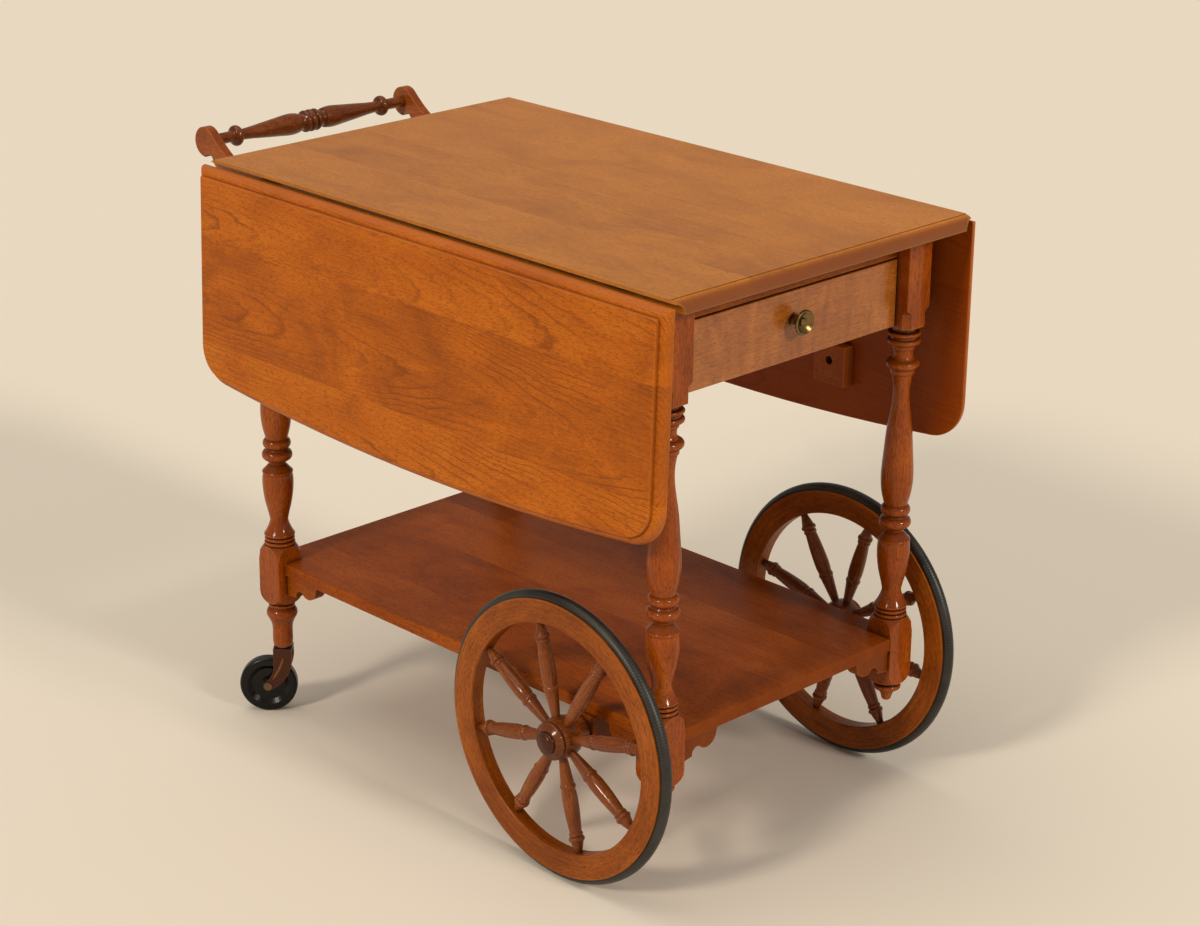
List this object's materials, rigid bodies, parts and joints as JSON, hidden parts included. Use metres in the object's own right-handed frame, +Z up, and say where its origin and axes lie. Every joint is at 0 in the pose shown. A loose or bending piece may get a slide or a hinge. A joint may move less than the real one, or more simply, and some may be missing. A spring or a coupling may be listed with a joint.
{
  "type": "drop leaf tea trolley",
  "caption": "Wheeled serving trolley in turned wood with hinged drop leaves, an end drawer, a lower shelf, spoked wheels at one end, swivel casters at the other and a push handle.",
  "frame": {"origin": "on the floor, under the middle of the overall box with both leaves hanging", "axes": "+X towards the drawer end, +Y towards the far leaf, +Z up"},
  "size_m": [0.9324, 0.547, 0.7475],
  "materials": {
    "stained_maple_board": "satin lacquer over red-brown stain",
    "stained_maple_frame": "satin lacquer over red-brown stain",
    "stained_maple_turned": "satin lacquer over red-brown stain",
    "inner_hardwood": "plain, thinly sealed",
    "drawer_bottom_panel": "plain thin panel",
    "tyre_rubber": "matt black rubber",
    "caster_tread": "hard black rubber, slightly glossy",
    "bronze_paint": "brown bronze paint, satin",
    "brass_knob": "lacquered, a little tarnished",
    "hinge_steel": "brown plated, dull",
    "bright_steel": "zinc-plated"
  },
  "bodies": {
    "frame": {"top_board": "stained_maple_board", "leg_front_near": "stained_maple_turned", "leg_front_far": "stained_maple_turned", "leg_rear_near": "stained_maple_turned", "leg_rear_far": "stained_maple_turned", "side_apron_near": "stained_maple_frame", "side_apron_far": "stained_maple_frame", "end_apron": "stained_maple_frame", "drawer_rail": "stained_maple_frame", "drawer_runners": "inner_hardwood", "top_cleats": "inner_hardwood", "shelf_board": "stained_maple_board", "shelf_brackets": "stained_maple_frame", "axle_bolster": "stained_maple_frame", "axle": "bright_steel", "axle_washers": "bright_steel", "handle_arm_near": "stained_maple_frame", "handle_arm_far": "stained_maple_frame", "handle_bar": "stained_maple_turned", "frame_screws": "bright_steel", "hinge_top_flaps": "hinge_steel", "hinge_pins": "hinge_steel", "support_cleats": "inner_hardwood", "support_pivots": "bright_steel", "caster_sockets": "bright_steel"},
    "drawer": {"drawer_front": "stained_maple_board", "drawer_side_near": "inner_hardwood", "drawer_side_far": "inner_hardwood", "drawer_back": "inner_hardwood", "drawer_bottom": "drawer_bottom_panel", "drawer_knob": "brass_knob", "knob_screw": "bright_steel"},
    "leaf_near": {"leaf_near": "stained_maple_board", "leaf_block_near": "inner_hardwood", "leaf_hinge_flaps_near": "hinge_steel", "leaf_hinge_screws_near": "bright_steel"},
    "support_arm_near": {"support_arm_near": "inner_hardwood"},
    "wheel_near": {"wheel_hub_near": "stained_maple_turned", "wheel_spokes_near": "stained_maple_turned", "wheel_rim_near": "stained_maple_turned", "wheel_tyre_near": "tyre_rubber", "wheel_cap_near": "bronze_paint"},
    "caster_swivel_near": {"caster_fork_near": "bronze_paint", "caster_stem_near": "bright_steel", "caster_axle_near": "bright_steel"},
    "caster_wheel_near": {"caster_wheel_near": "caster_tread"},
    "leaf_far": {"leaf_far": "stained_maple_board", "leaf_block_far": "inner_hardwood", "leaf_hinge_flaps_far": "hinge_steel", "leaf_hinge_screws_far": "bright_steel"},
    "support_arm_far": {"support_arm_far": "inner_hardwood"},
    "wheel_far": {"wheel_hub_far": "stained_maple_turned", "wheel_spokes_far": "stained_maple_turned", "wheel_rim_far": "stained_maple_turned", "wheel_tyre_far": "tyre_rubber", "wheel_cap_far": "bronze_paint"},
    "caster_swivel_far": {"caster_fork_far": "bronze_paint", "caster_stem_far": "bright_steel", "caster_axle_far": "bright_steel"},
    "caster_wheel_far": {"caster_wheel_far": "caster_tread"}
  },
  "joints": [
    {"name": "drawer_slide", "type": "slide", "parent": "frame", "child": "drawer", "axis": [1, 0, 0], "range_m": [0, 0.3]},
    {"name": "leaf_near_fold", "type": "hinge", "parent": "frame", "child": "leaf_near", "pos_m": [0.06125, -0.245, 0.722], "axis": [-1, 0, 0], "range_deg": [0, 88.2]},
    {"name": "support_arm_near_swing", "type": "hinge", "parent": "frame", "child": "support_arm_near", "pos_m": [0.26325, -0.224, 0.69], "axis": [0, 0, 1], "range_deg": [0, 3.5]},
    {"name": "wheel_near_spin", "type": "hinge", "parent": "frame", "child": "wheel_near", "pos_m": [0.28875, -0.247, 0.1775], "axis": [0, 1, 0], "continuous": true},
    {"name": "caster_near_swivel", "type": "hinge", "parent": "frame", "child": "caster_swivel_near", "pos_m": [-0.28175, -0.1995, 0.0935], "axis": [0, 0, 1], "continuous": true},
    {"name": "caster_near_roll", "type": "hinge", "parent": "caster_swivel_near", "child": "caster_wheel_near", "pos_m": [-0.29589, -0.21364, 0.0375], "axis": [-0.7071, 0.7071, 0], "continuous": true},
    {"name": "leaf_far_fold", "type": "hinge", "parent": "frame", "child": "leaf_far", "pos_m": [0.06125, 0.245, 0.722], "axis": [1, 0, 0], "range_deg": [0, 90]},
    {"name": "support_arm_far_swing", "type": "hinge", "parent": "frame", "child": "support_arm_far", "pos_m": [0.26325, 0.224, 0.69], "axis": [0, 0, -1], "range_deg": [0, 3.5]},
    {"name": "wheel_far_spin", "type": "hinge", "parent": "frame", "child": "wheel_far", "pos_m": [0.28875, 0.247, 0.1775], "axis": [0, 1, 0], "continuous": true},
    {"name": "caster_far_swivel", "type": "hinge", "parent": "frame", "child": "caster_swivel_far", "pos_m": [-0.28175, 0.1995, 0.0935], "axis": [0, 0, 1], "continuous": true},
    {"name": "caster_far_roll", "type": "hinge", "parent": "caster_swivel_far", "child": "caster_wheel_far", "pos_m": [-0.29589, 0.18536, 0.0375], "axis": [-0.7071, 0.7071, 0], "continuous": true}
  ]
}
